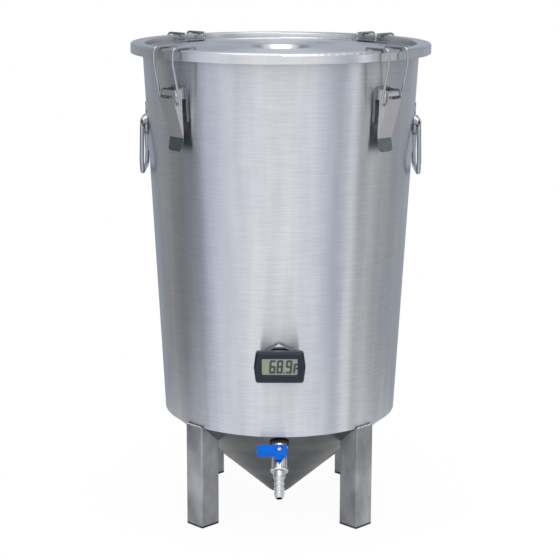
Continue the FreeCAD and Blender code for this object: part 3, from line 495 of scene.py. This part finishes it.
# %% Plates from outlines
def plates(name, outlines, front_y, thick, centre_z):
    """Object of thin plates that face the front, from outlines in millimetres."""
    verts, faces = [], []
    for outline in outlines:
        first = len(verts)
        count = len(outline)
        for depth in (0.0, thick):
            verts += [(x * MM, front_y + depth, centre_z + z * MM) for x, z in outline]
        faces.append(list(range(first, first + count)))
        faces.append(list(range(first + 2 * count - 1, first + count - 1, -1)))
        for i in range(count):
            j = (i + 1) % count
            faces.append([first + j, first + i, first + count + i, first + count + j])
    mesh = bpy.data.meshes.new(name)
    mesh.from_pydata(verts, [], faces)
    piece = bpy.data.objects.new(name, mesh)
    bpy.context.scene.collection.objects.link(piece)
    return piece


print("plates() is ready")

# %% The reading, in millimetres
STROKE = 2.35
DIGIT_WIDTH, DIGIT_HEIGHT = 6.8, 14.4
DIGIT_PITCH = 7.7
READING_LEFT = -11.3
READING_LOW = -DIGIT_HEIGHT / 2
POINT = 1.6
UNIT_WIDTH, UNIT_HEIGHT, UNIT_STROKE = 5.2, 11.0, 2.2
outlines = []
for place, symbol in ((0, "6"), (1, "8"), (2.23, "9")):
    left = READING_LEFT + place * DIGIT_PITCH
    outlines += digit_outlines(symbol, left, READING_LOW, DIGIT_WIDTH, DIGIT_HEIGHT, STROKE)
point_left = READING_LEFT + 1.95 * DIGIT_PITCH
point_corners = ((0, 0), (POINT, 0), (POINT, POINT), (0, POINT))
outlines.append([(point_left + x, READING_LOW + z) for x, z in point_corners])
unit_left = READING_LEFT + 3.27 * DIGIT_PITCH
outlines += digit_outlines("F", unit_left, READING_LOW, UNIT_WIDTH, UNIT_HEIGHT, UNIT_STROKE)
print("the reading has", len(outlines), "bars")

# %% Put the reading on the display
PLATE = 0.05 * MM
display_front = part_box("thermometer_display")[0].y
lens_low, lens_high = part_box("thermometer_lens")
reading = plates("display_reading", outlines, display_front - PLATE, PLATE, (lens_low.z + lens_high.z) / 2)
reading.data.materials.append(crystal)
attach(reading, "vessel")
print("reading is", round(reading.dimensions.x / MM, 1), "mm wide")

# %% [markdown]
# ## Welds on the legs
#
# Each leg is welded where its outer face stands proud of the bucket's lower edge. The weld is a row
# of overlapping drops, so one low ball is repeated along that ledge, which is 1.9 mm outside the
# cone's rim, a little uneven in size. A bump in the steel would be cheaper, but the drops stand out
# from the edge and catch their own light.

# %% One drop of weld
BEAD = 1.35 * MM
BEAD_PITCH = 2.1 * MM
BEADS_EACH_WAY = 5
FLATTEN = 0.8
UNEVEN = 0.12


def ball(centre, size, rings=5, around=8):
    """Points and faces of a small ball, flattened a little in Z."""
    points = [centre + Vector((0, 0, size * FLATTEN))]
    for i in range(1, rings):
        up = math.pi * i / rings
        for j in range(around):
            turn = math.tau * j / around
            points.append(centre + size * Vector((math.sin(up) * math.cos(turn),
                                                  math.sin(up) * math.sin(turn), FLATTEN * math.cos(up))))
    points.append(centre - Vector((0, 0, size * FLATTEN)))
    faces = [[0, 1 + j, 1 + (j + 1) % around] for j in range(around)]
    for i in range(rings - 2):
        row, below = 1 + i * around, 1 + (i + 1) * around
        for j in range(around):
            k = (j + 1) % around
            faces.append([row + j, below + j, below + k, row + k])
    last = len(points) - 1
    faces += [[last, last - around + (j + 1) % around, last - around + j] for j in range(around)]
    return points, faces


print("faces of one drop:", len(ball(Vector(), BEAD)[1]))

# %% Rows of drops
LEDGE_OUTSIDE_CONE = 1.9 * MM
weld_points, weld_faces = [], []
edge_radius = abs(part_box("cone_bottom")[0].x) + LEDGE_OUTSIDE_CONE
for name in ("front_right", "rear_right", "rear_left", "front_left"):
    low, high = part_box("leg_" + name)
    outward = Vector(((low.x + high.x) / 2, (low.y + high.y) / 2, 0)).normalized()
    across = Vector((-outward.y, outward.x, 0))
    for step in range(-BEADS_EACH_WAY, BEADS_EACH_WAY + 1):
        size = BEAD * (1 + UNEVEN * math.sin(step * 2.4))
        spot = outward * edge_radius + across * step * BEAD_PITCH + Vector((0, 0, high.z))
        points, faces = ball(spot, size)
        weld_faces += [[len(weld_points) + i for i in face] for face in faces]
        weld_points += points
print("weld faces:", len(weld_faces))

# %% The welds as one piece
weld_mesh = bpy.data.meshes.new("weld_beads")
weld_mesh.from_pydata(weld_points, [], weld_faces)
weld_mesh.materials.append(bright_steel)
for face in weld_mesh.polygons:
    face.use_smooth = True
welds = bpy.data.objects.new("weld_beads", weld_mesh)
bpy.context.scene.collection.objects.link(welds)
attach(welds, "vessel")
print("welds ride on the vessel")

# %% [markdown]
# ## The studio
#
# Steel shows its surroundings, so the surroundings are half of its look. A product is often lit in
# a tent of white cloth, with grey cards hung at its sides: the cloth gives the broad bright front,
# and the cards give the dark upright bands that make a round wall look round.
#
# The world is plain white. The floor is a white disc that looks nearly as bright as the world to
# the camera, keeps a faint shadow, and fades out at its rim so that no edge shows.

# %% World
scene = bpy.context.scene
scene.view_settings.view_transform = "Standard"
world = bpy.data.worlds.new("white_studio")
world.use_nodes = True
world.node_tree.nodes.clear()
sky = add(world.node_tree, "ShaderNodeBackground", {"Color": linear("#ffffff"), "Strength": 1.0})
add(world.node_tree, "ShaderNodeOutputWorld", {"Surface": sky.outputs[0]})
scene.world = world
print("world:", world.name)

# %% Floor disc
FLOOR_RADIUS = 0.45
FLOOR_SIDES = 96
FLOOR_GAP = 0.2 * MM
floor_mesh = bpy.data.meshes.new("floor")
corners = [math.tau * i / FLOOR_SIDES for i in range(FLOOR_SIDES)]
floor_mesh.from_pydata([(FLOOR_RADIUS * math.cos(a), FLOOR_RADIUS * math.sin(a), 0) for a in corners], [],
                       [list(range(FLOOR_SIDES))])
floor = bpy.data.objects.new("floor", floor_mesh)
scene.collection.objects.link(floor)
floor.location.z = cad_low.z - FLOOR_GAP
print("floor is", FLOOR_RADIUS * 2, "m across")

# %% Floor paint
# Each kind of ray sees a share of the paint as plain white light, and the rest as matt white paint
# that takes shadow.
FLOOR_FADE = 0.30
SHARES = {"Is Camera Ray": 0.95, "Is Glossy Ray": 0.1, "Is Transmission Ray": 0.1}
floor_paint, tree = empty_material("white_floor_paint")
matt = add(tree, "ShaderNodeBsdfDiffuse", {"Color": linear("#ffffff")})
glow = add(tree, "ShaderNodeEmission", {"Color": linear("#ffffff"), "Strength": 1.0})
rays = add(tree, "ShaderNodeLightPath")
share = 0.0
for ray, part in SHARES.items():
    share = add(tree, "ShaderNodeMath", {0: rays.outputs[ray], 1: part, 2: share},
                operation="MULTIPLY_ADD").outputs[0]
lit = add(tree, "ShaderNodeMixShader", {0: share, 1: matt.outputs[0], 2: glow.outputs[0]})
spot = add(tree, "ShaderNodeTexCoord").outputs["Object"]
distance = add(tree, "ShaderNodeVectorMath", {0: spot}, operation="LENGTH")
fade = add(tree, "ShaderNodeMapRange", {"Value": distance.outputs["Value"], "From Min": FLOOR_FADE,
                                        "From Max": FLOOR_RADIUS}, interpolation_type="SMOOTHSTEP")
clear = add(tree, "ShaderNodeBsdfTransparent")
whole = add(tree, "ShaderNodeMixShader", {0: fade.outputs[0], 1: lit.outputs[0], 2: clear.outputs[0]})
add(tree, "ShaderNodeOutputMaterial", {"Surface": whole.outputs[0]})
floor_mesh.materials.append(floor_paint)
print("floor paint:", floor_paint.name)

# %% [markdown]
# The tent is a wide open cylinder round the object and the camera, and only reflections see it.
# One colour ramp, wrapped round it, holds all its cards. Each stop gives an angle in degrees from
# the front, positive to the right, and the grey that hangs there; between two stops the grey
# changes evenly, as it does on a fold of cloth. Two stops close together are the edge of a card.

# %% Tent
TENT_RADIUS = 1.3
TENT_LOW, TENT_HIGH = -1.6, 2.0
TENT_SIDES = 96
corners = [math.tau * i / TENT_SIDES for i in range(TENT_SIDES)]
tent_mesh = bpy.data.meshes.new("light_tent")
tent_mesh.from_pydata([(TENT_RADIUS * math.sin(a), -TENT_RADIUS * math.cos(a), z)
                       for z in (TENT_LOW, TENT_HIGH) for a in corners], [],
                      [[i, (i + 1) % TENT_SIDES, TENT_SIDES + (i + 1) % TENT_SIDES, TENT_SIDES + i]
                       for i in range(TENT_SIDES)])
tent = bpy.data.objects.new("light_tent", tent_mesh)
scene.collection.objects.link(tent)
tent.visible_camera = False
tent.visible_diffuse = False
tent.visible_transmission = False
tent.visible_shadow = False
print("tent is", TENT_RADIUS * 2, "m across")

# %% Cloth and cards
TENT_STRENGTH = 1.05
BACK_LEFT = [(-180, "#b4bac6"), (-158, "#a0a7b4"), (-130, "#a0a2a4"), (-112, "#9e9e9e"), (-104, "#8e8e8f")]
LEFT_CARD = [(-101, "#7e7f81"), (-91, "#868789"), (-87, "#8e9196"), (-81, "#989ca3"), (-73, "#9ba0aa")]
FRONT_LEFT = [(-69, "#b9bfcc"), (-65, "#d6dce7"), (-56, "#dce1ed"), (-44, "#f0f2f6"), (-34, "#e6e8ec")]
FRONT = [(-24, "#fbfbfc"), (24, "#f8f8f9"), (34, "#e6e8ee"), (44, "#c8ccd6")]
RIGHT_CARD = [(50, "#b8bcc6"), (56, "#bcc0ca")]
BRIGHT_STRIP = [(59, "#ffffff"), (65, "#ffffff")]
SIDE_CARD = [(68, "#b4b5b8"), (74, "#bbbbbc"), (79, "#d0cfce"), (85, "#cecdcc"), (92, "#b9babb")]
BACK_RIGHT = [(112, "#abadaf"), (148, "#acb0b8"), (180, "#b4bac6")]
CARDS = BACK_LEFT + LEFT_CARD + FRONT_LEFT + FRONT + RIGHT_CARD + BRIGHT_STRIP + SIDE_CARD + BACK_RIGHT

cloth, tree = empty_material("tent_cloth_and_cards")
split = add(tree, "ShaderNodeSeparateXYZ", {"Vector": add(tree, "ShaderNodeTexCoord").outputs["Object"]})
front = add(tree, "ShaderNodeMath", {0: split.outputs["Y"], 1: -1.0}, operation="MULTIPLY")
angle = add(tree, "ShaderNodeMath", {0: split.outputs["X"], 1: front.outputs[0]}, operation="ARCTAN2")
ramp = add(tree, "ShaderNodeValToRGB", {"Fac": sharpen(tree, angle.outputs[0], -math.pi, math.pi)})
stops = ramp.color_ramp.elements
stops[0].position, stops[0].color = 0.0, linear(CARDS[0][1])
stops[1].position, stops[1].color = 1.0, linear(CARDS[-1][1])
for degrees, code in CARDS[1:-1]:
    stops.new((degrees + 180) / 360).color = linear(code)
light = add(tree, "ShaderNodeEmission", {"Color": ramp.outputs["Color"], "Strength": TENT_STRENGTH})
add(tree, "ShaderNodeOutputMaterial", {"Surface": light.outputs[0]})
tent_mesh.materials.append(cloth)
print("tent has", len(stops), "stops")

# %% [markdown]
# A round soft lamp hangs over the vessel and a little in front. It puts the thin bright lines on
# rounded edges that face up, which the tent leaves dark because it has no roof.

# %% Ceiling lamp
LAMP_SIZE = 1.6
LAMP_WATTS = 9.0
LAMP_PLACE = (0, -0.5, 1.9)
lamp_data = bpy.data.lights.new("ceiling_lamp", "AREA")
lamp_data.shape = "DISK"
lamp_data.size = LAMP_SIZE
lamp_data.energy = LAMP_WATTS
lamp = bpy.data.objects.new("ceiling_lamp", lamp_data)
scene.collection.objects.link(lamp)
lamp.location = LAMP_PLACE
lamp.visible_camera = False
print("lamp:", LAMP_WATTS, "W")

# %% [markdown]
# ## Camera
#
# The camera stands 1.8 m in front at a height of two thirds of a metre, with a long lens, and
# looks slightly down. From there the lid is a narrow ellipse and the cone shows under the wall.
# A long lens from far away keeps upright lines nearly parallel, as a catalogue wants them.

# %% Camera
LENS_MM = 104.3
SENSOR_MM = 36.0
CAMERA_PLACE = (0.0, -1.7814, 0.6554)
LOOK_DOWN = math.radians(12.597)
ROLL = math.radians(0.209)
camera_data = bpy.data.cameras.new("camera")
camera_data.sensor_width = SENSOR_MM
camera_data.lens = LENS_MM
camera_data.clip_end = 50
camera = bpy.data.objects.new("camera", camera_data)
scene.collection.objects.link(camera)
camera.location = CAMERA_PLACE
camera.rotation_mode = "QUATERNION"
raised = Quaternion((1, 0, 0), math.pi / 2 - LOOK_DOWN)
camera.rotation_quaternion = raised @ Quaternion((0, 0, 1), ROLL)
scene.camera = camera
print("camera at", CAMERA_PLACE)

# %% [markdown]
# ## Last step
#
# Last, the scene is brought up to date once more.

# %% Finish
bpy.context.view_layer.update()
